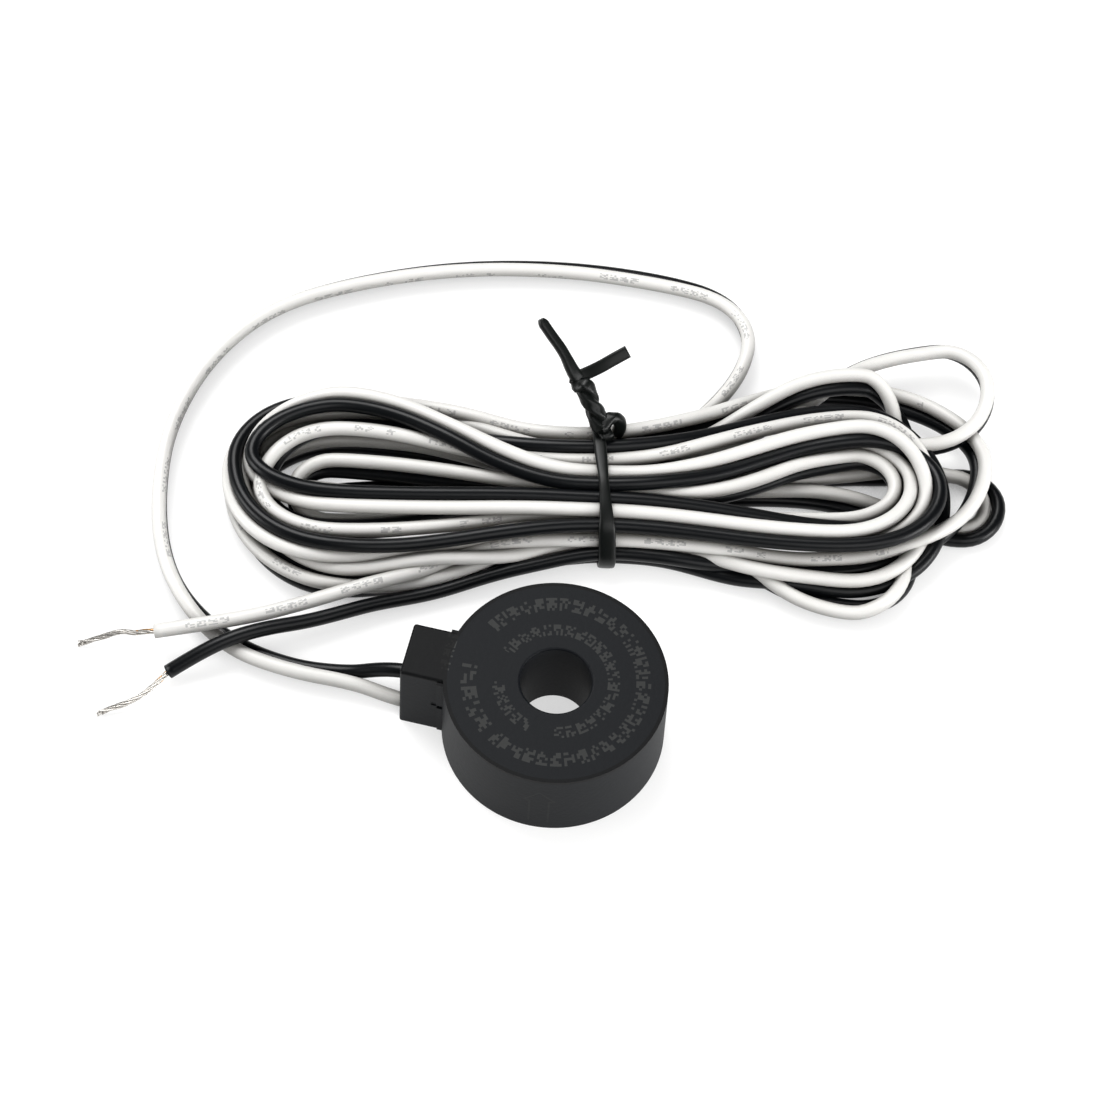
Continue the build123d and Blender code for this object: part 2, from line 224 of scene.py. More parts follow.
def quarter_turn(direction, waist, half, bulge, edge):
    """Points from the tie over a bulge to the end of the hank: along, across, height, roll."""
    foot = half.reach - bulge.back
    widest = (bulge.across, bulge.height, bulge.roll)
    points = [(direction * u, v, z, roll) for u, v, z, roll in bulge.places]
    for share in SHARES_OF_WAY[-1:] if bulge.places else SHARES_OF_WAY:
        bent = max(0.0, share - bulge.straight) / (1 - bulge.straight)
        v, z, roll = mix(waist, widest, ease(bent))
        points.append((direction * foot * share, v, z, roll))
    for angle in BEND_ANGLES:
        s, c = math.sin(math.radians(angle)), math.cos(math.radians(angle))
        z, roll = mix(widest[1:], (half.height, half.roll), angle / 90)
        u, v = direction * (foot + bulge.back * s), edge + (bulge.across - edge) * c
        points.append((u, v, z, roll))
    return points


def half_turn(direction, start, half, finish):
    """Points of one half turn. Direction is -1 to the left of the tie and 1 to the right."""
    ahead = direction * half.run / 2
    out = quarter_turn(direction, start, half, half.bulge_in, half.middle + ahead)
    back = quarter_turn(direction, finish, half, half.bulge_out, half.middle - ahead)
    # Without a stretch across the end, both quarters have the same last point.
    return out + back[::-1][0 if half.run else 1:]


def hank_points():
    """The pair's points through all the turns: x, y, z and roll."""
    points = []
    for i, (left, right) in enumerate(zip(LEFT, RIGHT)):
        first = half_turn(-1, NEAR[i], left, FAR[i])
        points += first[1:] if i == 0 else [(0.0, *NEAR[i])] + first
        points.append((0.0, *FAR[i]))
        points += half_turn(1, FAR[i], right, NEAR[i + 1])
    points.append((0.0, *NEAR[-1]))
    return [(*on_hank(u, v), z, roll) for u, v, z, roll in points]


def pair_sides(points):
    """White and black control points either side of the middle line of the pair."""
    middle = np.array([p[:3] for p in points])
    heading = np.gradient(middle, axis=0)
    heading[:, 2] = 0
    heading /= np.linalg.norm(heading, axis=1)[:, None]
    left = np.stack([-heading[:, 1], heading[:, 0], 0 * heading[:, 0]], 1)
    roll = np.radians([p[3] for p in points])[:, None]
    offset = WIRE / 2 * (np.cos(roll) * left + np.sin(roll) * UP)
    return middle + offset, middle - offset


def lengths_along(line):
    """Length of a line up to each of its points."""
    return np.concatenate([[0], np.cumsum(np.linalg.norm(np.diff(line, axis=0), axis=1))])


def even(points, step):
    """The same line with its points evenly spaced."""
    along = lengths_along(points)
    keep = np.concatenate([[True], np.diff(along) > 1e-9])
    along, points = along[keep], points[keep]
    count = max(2, int(round(along[-1] / step)) + 1)
    places = np.linspace(0, along[-1], count)
    return np.stack([np.interp(places, along, points[:, i]) for i in range(3)], 1)


def spline_points(name, points, step):
    """Evenly spaced points of the NURBS line of a control polygon, in millimetres."""
    curve = bpy.data.curves.new(name, "CURVE")
    curve.dimensions = "3D"
    line = curve.splines.new("NURBS")
    line.points.add(len(points) - 1)
    for place, point in zip(points, line.points):
        point.co = (*[value * MM for value in place], 1.0)
    line.order_u = 3
    line.use_endpoint_u = True
    line.resolution_u = 12
    holder = bpy.data.objects.new(name, curve)
    scene.collection.objects.link(holder)
    bpy.context.view_layer.update()
    evaluated = holder.evaluated_get(bpy.context.evaluated_depsgraph_get())
    mesh = bpy.data.meshes.new_from_object(evaluated)
    raw = np.array([v.co for v in mesh.vertices]) / MM
    bpy.data.objects.remove(holder)
    bpy.data.meshes.remove(mesh)
    return even(raw, step)


# --- Room between the strands --------------------------------------------------------------------
ROUNDS = 150
LOOK_AGAIN = 10  # rounds between two searches for strands that may touch
LOOK_BEYOND = 1.5  # how far apart two strands can be and still come to touch before the next search
HELD_POINTS = 12  # at each end of a wire, where it hardly moves
BOND_FROM, BOND_TO = 30, 75  # points of the white wire that are parted, at its start and its end
BOND_SEARCH = 30  # points of the black wire looked at either side of the expected one
FIRMNESS, HOMING = 1.6, 0.03  # share of an overlap, and of the way home, that one round makes good


def bonds_between(white, black):
    """Point numbers, of the white wire and of the black wire after it, that stay side by side."""
    scale = (len(black) - 1) / (len(white) - 1)
    bonds = []
    for i in range(BOND_FROM, len(white) - BOND_TO):
        guess = int(round(i * scale))
        near = np.arange(max(0, guess - BOND_SEARCH), min(len(black), guess + BOND_SEARCH))
        best = near[np.argmin(np.linalg.norm(black[near] - white[i], axis=1))]
        bonds.append((i, len(white) + best))
    return np.array(bonds).T


def touching(at, split):
    """Numbers of points that may touch: on different wires, or far enough apart on one wire."""
    squares = (at ** 2).sum(1)
    gaps = squares[:, None] + squares[None] - 2 * at @ at.T
    a, b = np.nonzero(np.triu(gaps < (WIRE + LOOK_BEYOND) ** 2, 1))
    apart = ((a < split) != (b < split)) | (np.abs(a - b) * WIRE_STEP > 3.5 * WIRE)
    return a[apart], b[apart]


def relax(white, black):
    """Pushes crossing stretches of the lead apart, and keeps the two wires of the pair together."""
    split = len(white)
    at = np.concatenate([white, black])
    home = at.copy()
    wires = (slice(0, split), slice(split, len(at)))
    loose = np.ones(len(at))
    for wire in wires:
        loose[wire][:HELD_POINTS] = np.linspace(0, 1, HELD_POINTS)
        loose[wire][-HELD_POINTS:] = np.linspace(1, 0, HELD_POINTS)
    bonded = bonds_between(white, black)
    # The tie passes between the turns and the floor, so they lie higher there.
    along, across, _ = in_hank(at).T
    over_tie = np.exp(-(along / 5) ** 2) * (np.abs(across) < NEAR_TIE)
    lowest = WIRE / 2 + TIE_THICK * over_tie
    kernel = np.exp(-0.5 * (np.arange(-16, 17) / 5.5) ** 2)  # spreads a push along the wire
    kernel /= kernel.sum()
    for turn in range(ROUNDS):
        if turn % LOOK_AGAIN == 0:
            near = touching(at, split)
        push, count = np.zeros_like(at), np.zeros(len(at))
        for (a, b), kept_together in ((near, False), (bonded, True)):
            delta = at[a] - at[b]
            gap = np.linalg.norm(delta, axis=1)
            shove = delta / np.maximum(gap, 1e-6)[:, None] * (WIRE - gap)[:, None] / 2
            moved = (gap < WIRE) | kept_together
            np.add.at(push, a[moved], shove[moved])
            np.add.at(push, b[moved], -shove[moved])
            np.add.at(count, a[moved], 1)
            np.add.at(count, b[moved], 1)
        push /= np.maximum(count, 1)[:, None]
        push *= FIRMNESS
        for wire in wires:
            for axis in range(3):
                push[wire, axis] = np.convolve(push[wire, axis], kernel, "same")
        at += (push + HOMING * (home - at)) * loose[:, None]
        at[:, 2] = np.maximum(at[:, 2], lowest)
    return at[:split], at[split:]


white_pair, black_pair = pair_sides(LOOP + hank_points())
white_line, black_line = relax(
    spline_points("white_route", [*WHITE_TAIL, *white_pair, *WHITE_END], WIRE_STEP),
    spline_points("black_route", [*BLACK_TAIL, *black_pair, *BLACK_END], WIRE_STEP),
)


# --- Materials -----------------------------------------------------------------------------------
def material(name, colour, roughness, specular, speckle, scale, metallic=0.0, bump=0.0):
    """A principled material whose colour varies a little and whose surface is slightly uneven."""
    made = bpy.data.materials.new(name)
    made.use_nodes = True
    nodes, links = made.node_tree.nodes, made.node_tree.links
    shader = nodes["Principled BSDF"]
    shader.inputs["Roughness"].default_value = roughness
    shader.inputs["Specular IOR Level"].default_value = specular
    shader.inputs["Metallic"].default_value = metallic
    place = nodes.new("ShaderNodeTexCoord")
    noise = nodes.new("ShaderNodeTexNoise")
    noise.inputs["Scale"].default_value = scale
    noise.inputs["Detail"].default_value = 3.0
    links.new(place.outputs["Object"], noise.inputs["Vector"])
    tint = nodes.new("ShaderNodeMixRGB")
    tint.inputs["Color1"].default_value = (*[c * (1 - speckle) for c in colour], 1)
    tint.inputs["Color2"].default_value = (*[min(1.0, c * (1 + speckle)) for c in colour], 1)
    links.new(noise.outputs["Fac"], tint.inputs["Fac"])
    links.new(tint.outputs["Color"], shader.inputs["Base Color"])
    if bump:
        rough = nodes.new("ShaderNodeBump")
        rough.inputs["Strength"].default_value = bump
        rough.inputs["Distance"].default_value = 0.0001
        links.new(noise.outputs["Fac"], rough.inputs["Height"])
        links.new(rough.outputs["Normal"], shader.inputs["Normal"])
    return made


def calculator(tree):
    """A function that adds one sum, of numbers or sockets, to a node tree and gives its result."""
    def work(kind, *values):
        node = tree.nodes.new("ShaderNodeMath")
        node.operation = kind
        for i, value in enumerate(values):
            if isinstance(value, (int, float)):
                node.inputs[i].default_value = value
            else:
                tree.links.new(value, node.inputs[i])
        return node.outputs[0]
    return work


def between(work, value, low, high):
    """1 where a value lies between two others."""
    return work("MULTIPLY", work("GREATER_THAN", value, low), work("LESS_THAN", value, high))


def near(work, value, middle, reach):
    """1 where a value lies within reach of another."""
    return work("LESS_THAN", work("ABSOLUTE", work("SUBTRACT", value, middle)), reach)


MARK_COLUMNS, MARK_ROWS = 5.0, 5.0  # the last column is the space before the next mark
MARK_GAPS = 0.46  # share of the blocks of a mark that stay blank
WORD_INKED = 0.55  # share of a word that has marks, where a row is broken into words


def dashes(tree, along, across, pitch, height, missing, word):
    """A row of unreadable generic marks, each a cluster of small blocks: 1 where inked.
    Missing is the share of marks left out, and word the marks in a word with its space, or 0."""
    work = calculator(tree)
    cell = work("DIVIDE", along, pitch)
    number = work("FLOOR", cell)
    column = work("FLOOR", work("MULTIPLY", work("SUBTRACT", cell, number), MARK_COLUMNS))
    row = work("FLOOR", work("MULTIPLY", work("ADD", across, height / 2), MARK_ROWS / height))

    def chance(seed, other=None):
        """A number from 0 to 1 that is fixed for each seed, or for each pair of seeds."""
        noise = tree.nodes.new("ShaderNodeTexWhiteNoise")
        noise.noise_dimensions = "1D" if other is None else "2D"
        if other is None:
            tree.links.new(seed, noise.inputs["W"])
        else:
            both = tree.nodes.new("ShaderNodeCombineXYZ")
            tree.links.new(seed, both.inputs[0])
            tree.links.new(other, both.inputs[1])
            tree.links.new(both.outputs[0], noise.inputs["Vector"])
        return noise.outputs["Value"]

    block = chance(work("ADD", work("MULTIPLY", number, MARK_COLUMNS), column), row)
    coverage = work("GREATER_THAN", block, MARK_GAPS)
    coverage = work("MULTIPLY", coverage, work("LESS_THAN", column, MARK_COLUMNS - 1.5))
    coverage = work("MULTIPLY", coverage, work("LESS_THAN", work("ABSOLUTE", across), height / 2))
    kept = work("GREATER_THAN", chance(work("ADD", number, 0.5)), missing)
    coverage = work("MULTIPLY", coverage, kept)
    if word:
        words_before = work("FLOOR", work("DIVIDE", number, word))
        place = work("SUBTRACT", number, work("MULTIPLY", words_before, word))
        coverage = work("MULTIPLY", coverage, work("LESS_THAN", place, word * WORD_INKED))
    return coverage


def overlay_print_and_shade(made, coverage, colour, strength):
    """Mixes a colour over the colour a material already has where the coverage is set: a print, and
    on the housing's rim a painted dark reflection.
    """
    tree = made.node_tree
    shader = tree.nodes["Principled BSDF"]
    under = shader.inputs["Base Color"].links[0].from_socket
    over = tree.nodes.new("ShaderNodeMixRGB")
    over.inputs["Color2"].default_value = (*colour, 1)
    work = calculator(tree)
    tree.links.new(work("MULTIPLY", coverage, strength), over.inputs["Fac"])
    tree.links.new(under, over.inputs["Color1"])
    tree.links.new(over.outputs["Color"], shader.inputs["Base Color"])


def paint_crevice_shade(made, reach, least):
    """Paints shade into the colour of a material where other pieces crowd round it within reach, in
    metres. Least is the share of its colour left in a closed corner, where the painted shade turns
    a little warmer."""
    tree = made.node_tree
    shader = tree.nodes["Principled BSDF"]
    under = shader.inputs["Base Color"].links[0].from_socket
    crevice = tree.nodes.new("ShaderNodeAmbientOcclusion")
    crevice.samples = 8
    crevice.inputs["Distance"].default_value = reach
    work = calculator(tree)
    open_share = work("POWER", crevice.outputs["AO"], 1.3)
    dark = tree.nodes.new("ShaderNodeMixRGB")
    dark.blend_type = "MULTIPLY"
    dark.inputs["Fac"].default_value = 1.0
    tone = tree.nodes.new("ShaderNodeCombineColor")
    for socket, share in zip(tone.inputs, (least, least * 0.96, least * 0.90)):
        tree.links.new(work("ADD", work("MULTIPLY", open_share, 1.0 - share), share), socket)
    tree.links.new(under, dark.inputs["Color1"])
    tree.links.new(tone.outputs[0], dark.inputs["Color2"])
    tree.links.new(dark.outputs["Color"], shader.inputs["Base Color"])


def wire_print(made):
    """Grey marks along the line of print that the wire's UV layer gives, in millimetres."""
    tree = made.node_tree
    where = tree.nodes.new("ShaderNodeUVMap")
    where.uv_map = "print"
    split = tree.nodes.new("ShaderNodeSeparateXYZ")
    tree.links.new(where.outputs["UV"], split.inputs[0])
    marks = dashes(tree, split.outputs[0], split.outputs[1], 1.15, 0.62, 0.1, 7.0)
    overlay_print_and_shade(made, marks, (0.20, 0.20, 0.21), 0.5)


# Rings of print on the marked face: radius, pitch and height of the marks, from and to in degrees.
FACE_RINGS = (
    (8.55, 1.3, 1.45, -122, 150),
    (8.55, 1.75, 1.5, -178, -128),
    (5.65, 1.15, 1.2, -165, 160),
)
FACE_ROW_X, FACE_ROW_Y, FACE_ROW_HALF = -10.9, 0.6, 2.1  # the short row beside the box
FACE_FROM = 9.7  # height above which the print shows
# Painted reflection: the rounded edge between the face and the side wall is painted dark, standing
# in for the dark room it reflects.
PAINTED_RIM_RADIUS, PAINTED_RIM_FROM = 10.62, 9.42  # the rounded edge between the face and the side wall
# The outlined arrow on the side wall: its middle and its heights, then half the width of its
# shaft, its head and the line round each.
ARROW_X, ARROW_FOOT, ARROW_NECK, ARROW_TIP = 1.05, 1.2, 5.6, 7.4
SHAFT_HALF, HEAD_HALF, SHAFT_LINE, HEAD_LINE = 0.95, 1.53, 0.09, 0.11
ARROW_FRONT = -9.0  # the y below which it shows


def face_print(work, tree, x, y, z, radius):
    """Rings of marks and a short row of marks on the marked face."""
    turn = work("ARCTAN2", y, x)
    coverage = None
    for middle, pitch, height, low, high in FACE_RINGS:
        along = work("MULTIPLY", work("ADD", turn, middle), middle)
        ring = dashes(tree, along, work("SUBTRACT", radius, middle), pitch, height, 0.06, 0)
        ring = work("MULTIPLY", ring, between(work, turn, math.radians(low), math.radians(high)))
        coverage = ring if coverage is None else work("MAXIMUM", coverage, ring)
    row = dashes(tree, y, work("ADD", x, -FACE_ROW_X), 1.05, 1.0, 0.0, 0)
    row = work("MULTIPLY", row, near(work, y, FACE_ROW_Y, FACE_ROW_HALF))
    return work("MULTIPLY", work("MAXIMUM", coverage, row), work("GREATER_THAN", z, FACE_FROM))


def wall_arrow(work, x, y, z):
    """The outline of an arrow on the front of the side wall, from near the base up to the face."""
    off = work("ABSOLUTE", work("SUBTRACT", x, ARROW_X))
    slope = HEAD_HALF / (ARROW_TIP - ARROW_NECK)
    head_edge = work("MULTIPLY", work("SUBTRACT", ARROW_TIP, z), slope)
    head = work("MULTIPLY", between(work, z, ARROW_NECK, ARROW_TIP),
                near(work, off, head_edge, HEAD_LINE))
    shaft = work("MULTIPLY", between(work, z, ARROW_FOOT, ARROW_NECK),
                 near(work, off, SHAFT_HALF, SHAFT_LINE))
    barb = work("MULTIPLY", near(work, z, ARROW_NECK, SHAFT_LINE),
                between(work, off, SHAFT_HALF, HEAD_HALF))
    arrow = work("MAXIMUM", work("ADD", head, shaft), barb)
    return work("MULTIPLY", arrow, work("LESS_THAN", y, ARROW_FRONT))


def mark_housing(made):
    """The print on the face, a painted dark reflection on the face's rounded rim and the faint
    arrow on the side wall.
    """
    tree = made.node_tree
    work = calculator(tree)
    place = tree.nodes.new("ShaderNodeTexCoord")
    split = tree.nodes.new("ShaderNodeSeparateXYZ")
    tree.links.new(place.outputs["Object"], split.inputs[0])
    x, y, z = (work("MULTIPLY", socket, 1 / MM) for socket in split.outputs)
    radius = work("SQRT", work("ADD", work("MULTIPLY", x, x), work("MULTIPLY", y, y)))
    painted_rim_reflection = work("MULTIPLY", work("GREATER_THAN", radius, PAINTED_RIM_RADIUS),
               work("GREATER_THAN", z, PAINTED_RIM_FROM))
    overlay_print_and_shade(made, face_print(work, tree, x, y, z, radius), (0.036, 0.037, 0.036), 0.8)
    # Painted reflection: the rounded rim is painted near black.
    overlay_print_and_shade(made, painted_rim_reflection, (0.0008, 0.0009, 0.0011), 0.85)
    overlay_print_and_shade(made, wall_arrow(work, x, y, z), (0.013, 0.014, 0.014), 0.6)


housing_material = material("housing_nylon", (0.0048, 0.0058, 0.0074), 0.56, 0.13,
                            speckle=0.12, scale=2500, bump=0.15)
mark_housing(housing_material)
potting_material = material("potting_epoxy", (0.006, 0.006, 0.007), 0.25, 0.3,
                            speckle=0.1, scale=900)
white_material = material("white_insulation", (0.78, 0.77, 0.745), 0.38, 0.35,
                          speckle=0.03, scale=500)
wire_print(white_material)
# Painted shade: the white wire's colour is darkened where other strands crowd round it.
paint_crevice_shade(white_material, reach=0.006, least=0.2)
black_material = material("black_insulation", (0.0030, 0.0036, 0.0044), 0.34, 0.2,
                          speckle=0.15, scale=700)
tinned_material = material("tinned_strands", (0.52, 0.50, 0.47), 0.35, 0.5, metallic=1.0,
                           speckle=0.3, scale=1500)
copper_material = material("copper_strands", (0.62, 0.36, 0.16), 0.35, 0.5, metallic=1.0,
                           speckle=0.2, scale=1500)
tie_material = material("tie_plastic", (0.0040, 0.0050, 0.0046), 0.38, 0.24,
                        speckle=0.15, scale=900, bump=0.1)
inner_material = material("inner_piece", (0.3, 0.28, 0.25), 0.5, 0.5, speckle=0.1, scale=800)


# --- Shapes along a line -------------------------------------------------------------------------
def add_mesh(name, vertices, faces, surface, corners=None):
    """A smooth mesh object. Corners, if any, are the coordinates of its print layer."""
    mesh = bpy.data.meshes.new(name)
    mesh.from_pydata([tuple(v) for v in vertices], [], faces)
    if corners is not None:
        layer = mesh.uv_layers.new(name="print")
        layer.data.foreach_set("uv", np.asarray(corners, np.float32).ravel())
    mesh.polygons.foreach_set("use_smooth", [True] * len(mesh.polygons))
    mesh.materials.append(surface)
    made = bpy.data.objects.new(name, mesh)
    scene.collection.objects.link(made)
    return made


def frames(line):
    """Tangents, and normals carried along the line without twist."""
    tangents = np.gradient(line, axis=0)
    tangents /= np.linalg.norm(tangents, axis=1)[:, None]
    normal = np.cross(tangents[0], UP)
    normals = []
    for tangent in tangents:
        normal = normal - tangent * normal.dot(tangent)
        normal /= np.linalg.norm(normal)
        normals.append(normal)
    return tangents, np.array(normals)


def skin(count, sides, closed=False):
    """Faces of rings of points joined in order, and of two end points after them if not closed."""
    faces = []
    for i in range(count if closed else count - 1):
        j = (i + 1) % count
        for k in range(sides):
            n = (k + 1) % sides
            faces.append((i * sides + k, i * sides + n, j * sides + n, j * sides + k))
    if not closed:
        first, last, tail = count * sides, count * sides + 1, (count - 1) * sides
        for k in range(sides):
            n = (k + 1) % sides
            faces.append((first, n, k))
            faces.append((last, tail + k, tail + n))
    return faces


def print_corners(line, angles, across, normals, facing):
    """For each corner of a tube: how far along the line it lies, and how far round from the side
    that faces, in millimetres."""
    start = np.unwrap(np.arctan2((facing * across).sum(1), (facing * normals).sum(1)))
    along = np.arange(len(line)) * float(np.linalg.norm(line[1] - line[0]))
    step = 2 * math.pi / len(angles)
    base = (angles[None] - start[:-1, None] + math.pi) % (2 * math.pi) - math.pi
    turn = -np.diff(start)[:, None]
    here = np.broadcast_to(along[:-1, None], base.shape)
    there = np.broadcast_to(along[1:, None], base.shape)
    around = np.stack([base, base + step, base + step + turn, base + turn], 2) * (WIRE / 2)
    corners = np.stack([np.stack([here, here, there, there], 2), around], 3).reshape(-1, 2)
    caps = np.full((len(angles) * 6, 2), 9.0)  # well away from the print
    return np.concatenate([corners, caps])


def wire_tube(name, line, surface, facing=None, sides=16):
    """One insulated wire along a line. Facing, one direction for each point, is the side the
    print is on."""
    tangents, normals = frames(line)
    across = np.cross(tangents, normals)
    angles = np.linspace(0, 2 * math.pi, sides, endpoint=False)
    c, s = np.cos(angles)[:, None], np.sin(angles)[:, None]
    rings = [line[i] + WIRE / 2 * (c * normals[i] + s * across[i]) for i in range(len(line))]
    vertices = np.concatenate([*rings, line[:1], line[-1:]]) * MM
    corners = None if facing is None else print_corners(line, angles, across, normals, facing)
    return add_mesh(name, vertices, skin(len(line), sides), surface, corners)


def ribbon(line, wide, thick, flat, closed=False, sides=14):
    """Vertices and faces of a strip of oval section. Flat is the direction across its width."""
    line = np.asarray(line, float)
    count = len(line)
    if closed:
        tangents = np.roll(line, -1, axis=0) - np.roll(line, 1, axis=0)
    else:
        tangents = np.gradient(line, axis=0)
    tangents /= np.linalg.norm(tangents, axis=1)[:, None]
    wide, thick = np.broadcast_to(wide, count), np.broadcast_to(thick, count)
    flat = np.broadcast_to(flat, (count, 3)).astype(float)
    flat = flat - tangents * (flat * tangents).sum(1)[:, None]
    flat /= np.linalg.norm(flat, axis=1)[:, None]
    up = np.cross(tangents, flat)
    angles = np.linspace(0, 2 * math.pi, sides, endpoint=False)
    c, s = np.cos(angles), np.sin(angles)
    c, s = np.sign(c) * np.abs(c) ** 0.6, np.sign(s) * np.abs(s) ** 0.6  # squarer than an oval
    rings = (
        line[:, None]
        + c[None, :, None] * (wide[:, None, None] / 2) * flat[:, None]
        + s[None, :, None] * (thick[:, None, None] / 2) * up[:, None]
    )
    vertices = rings.reshape(-1, 3)
    if not closed:
        vertices = np.concatenate([vertices, line[:1], line[-1:]])
    return vertices, skin(count, sides, closed)


def joined(name, shapes, surface):
    """One object of several closed shapes, each as vertices in millimetres and faces."""
    vertices, faces, start = [], [], 0
    for points, around in shapes:
        vertices.append(np.asarray(points) * MM)
        faces += [tuple(start + k for k in face) for face in around]
        start += len(points)
    return add_mesh(name, np.concatenate(vertices), faces, surface)


# --- The two wires -------------------------------------------------------------------------------
# Where the print on the white wire is in sight, in millimetres along it: from, to, and how far
# it leans round the wire in degrees. Elsewhere it is underneath.
PRINTED = (
    (30, 104, 62),
    (104, 150, 8),
    (178, 206, 20),
    (812, 925, -6),
    (1345, 1402, 14),
    (1428, 1530, 4),
)
UNDERNEATH = 180.0
TOWARDS_VIEWER = np.array((0.0, -0.5, 0.86))


def print_side(line):
    """The direction in which the print faces at each point of the white wire."""
    distance = np.arange(len(line)) * WIRE_STEP
    lean = np.full(len(line), UNDERNEATH)
    for begin, finish, angle in PRINTED:
        lean[(distance >= begin) & (distance <= finish)] = angle
    lean = np.radians(lean)[:, None]
    tangents, _ = frames(line)
    facing = TOWARDS_VIEWER - tangents * (tangents @ TOWARDS_VIEWER)[:, None]
    facing /= np.linalg.norm(facing, axis=1)[:, None]
    return facing * np.cos(lean) + np.cross(tangents, facing) * np.sin(lean)


white_lead = wire_tube("white_lead", white_line, white_material, print_side(white_line))
black_lead = wire_tube("black_lead", black_line, black_material)
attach(white_lead, "root")
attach(black_lead, "root")
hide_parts("white_lead_tail", "twin_lead_loop", "white_lead_end", "lead_hank")
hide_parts("black_lead_tail", "black_lead_end")

# --- Twist tie: a band round the hank, a twisted stem and two tails ------------------------------
ALONG_HANK = np.array((math.cos(HANK_TURN), math.sin(HANK_TURN), 0.0))
BAND_AT = -0.35  # along the hank, where the band crosses its middle line
BAND_LEAN = 0.10  # how far along the hank the band runs back for each millimetre across it
UNDER_BAND = (-1.2, 0.6)  # the stretch along the hank whose strands the band lies on
STEM_FOOT, STEM_HEAD = np.array((-2.3, 30.8, 8.3)), np.array((-5.0, 33.5, 11.7))
STEM_TURN = math.radians(330)  # how far each strip winds round the other
STRIP_STEP = 0.22  # between the points of a strip


def hull(points):
    """Corners of the convex outline of points in a plane, anticlockwise."""
    ordered = sorted(map(tuple, points))
    outline = []
    for sweep in (ordered, ordered[::-1]):
        side = []
        for p in sweep:
            while len(side) > 1 and (
                (side[-1][0] - side[-2][0]) * (p[1] - side[-2][1])
                - (side[-1][1] - side[-2][1]) * (p[0] - side[-2][0])
            ) <= 0:
                side.pop()
            side.append(p)
        outline += side[:-1]
    return np.array(outline)


def band():
    """Middle line and width of the strip that is drawn tight round the strands."""
    strands = in_hank(np.concatenate([white_line, black_line]))
    low, high = UNDER_BAND
    held = (strands[:, 0] > low) & (strands[:, 0] < high) & (np.abs(strands[:, 1]) < NEAR_TIE)
    circle = np.linspace(0, 2 * math.pi, 25)[:-1]
    painted_rim_reflection = (WIRE + TIE_THICK) / 2 * np.stack([np.cos(circle), np.sin(circle)], 1)
    outline = hull((strands[held][:, None, 1:] + painted_rim_reflection).reshape(-1, 2))
    outline = even(np.concatenate([outline, outline[:1]]) @ np.eye(2, 3), 0.4)[:-1, :2]
    for _ in range(3):
        outline = (np.roll(outline, 1, axis=0) + 2 * outline + np.roll(outline, -1, axis=0)) / 4
    outline[:, 1] = np.maximum(outline[:, 1], TIE_THICK / 2)
    line = np.array([(*on_hank(BAND_AT - BAND_LEAN * v, v), z) for v, z in outline])
    # Narrowest over and under the middle of the hank, and widest at its near side
    wide = 1.32 - 0.32 * np.exp(-((outline[:, 0] + 0.2) / 1.8) ** 2) + 0.45 * (outline[:, 0] < -4.0)
    for _ in range(6):
        wide = (np.roll(wide, 1) + wide + np.roll(wide, -1)) / 3
    return line, wide


stem_way = STEM_HEAD - STEM_FOOT
stem_way /= np.linalg.norm(stem_way)
stem_side = np.cross(stem_way, UP)
stem_side /= np.linalg.norm(stem_side)
stem_up = np.cross(stem_side, stem_way)


def twisted(begin, before, after, tail_flat):
    """A strip that comes in over the points before, winds up the stem and runs out over after."""
    line, flat = [np.array(p) for p in before], [ALONG_HANK] * len(before)
    for t in np.linspace(0, 1, 25):
        angle = begin + t * STEM_TURN
        out = math.cos(angle) * stem_side + math.sin(angle) * stem_up
        across = np.cross(stem_way, out)
        if across.dot(flat[-1]) < 0:
            across = -across
        off_middle = 0.52 - 0.08 * math.sin(math.pi * t)
        line.append(STEM_FOOT + (STEM_HEAD - STEM_FOOT) * t + out * off_middle)
        flat.append(across)
    for p in after:
        line.append(np.array(p))
        flat.append(tail_flat if tail_flat.dot(flat[-1]) >= 0 else -tail_flat)
    line, flat = np.array(line), np.array(flat)
    smooth = spline_points("tie_strip", line, STRIP_STEP)
    along = lengths_along(line)
    where = np.linspace(0, along[-1], len(smooth))
    return smooth, np.stack([np.interp(where, along, flat[:, i]) for i in range(3)], 1)


def profile(line, shares, values):
    """A size at each point of a line, from its values at shares of the way along."""
    return np.interp(np.linspace(0, 1, len(line)), shares, values)


left_strip, left_flat = twisted(
    math.radians(-60),
    [(-1.4, 29.9, 7.9)],
    [(-6.3, 34.1, 12.5), (-7.7, 35.5, 13.8), (-9.4, 36.5, 15.0), (-10.6, 37.3, 16.0)],
    np.array((0.55, 0.83, 0.0)),
)
right_strip, right_flat = twisted(
    math.radians(120),
    [(-1.0, 32.2, 5.4), (-0.5, 32.3, 7.0), (-0.8, 32.2, 8.5), (-1.7, 31.9, 9.2)],
    [(-5.9, 33.0, 11.3), (-5.9, 34.0, 11.8), (-4.9, 34.5, 12.2), (-3.6, 35.2, 12.9),
     (-2.5, 36.0, 13.5), (-1.2, 37.0, 14.0)],
    np.array((-0.45, 0.65, 0.6)),
)
left_wide = profile(left_strip, (0, 0.55, 0.7, 1), (1.45, 1.45, 1.1, 1.05))
left_wide[-4:] = (1.1, 1.0, 0.8, 0.45)  # the rounded tip
left_thick = profile(left_strip, (0, 0.55, 0.7, 1), (1.15, 1.1, 0.95, 0.9))
right_thick = profile(right_strip, (0, 0.55, 0.75, 1), (1.15, 1.0, 0.55, 0.5))
band_line, band_wide = band()
tie = joined("tie_wrap", [
    ribbon(band_line, band_wide, TIE_THICK, ALONG_HANK, closed=True),
    ribbon(left_strip, left_wide, left_thick, left_flat),
    ribbon(right_strip, 1.35, right_thick, right_flat),
], tie_material)
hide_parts("twist_tie")
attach(tie, "root")

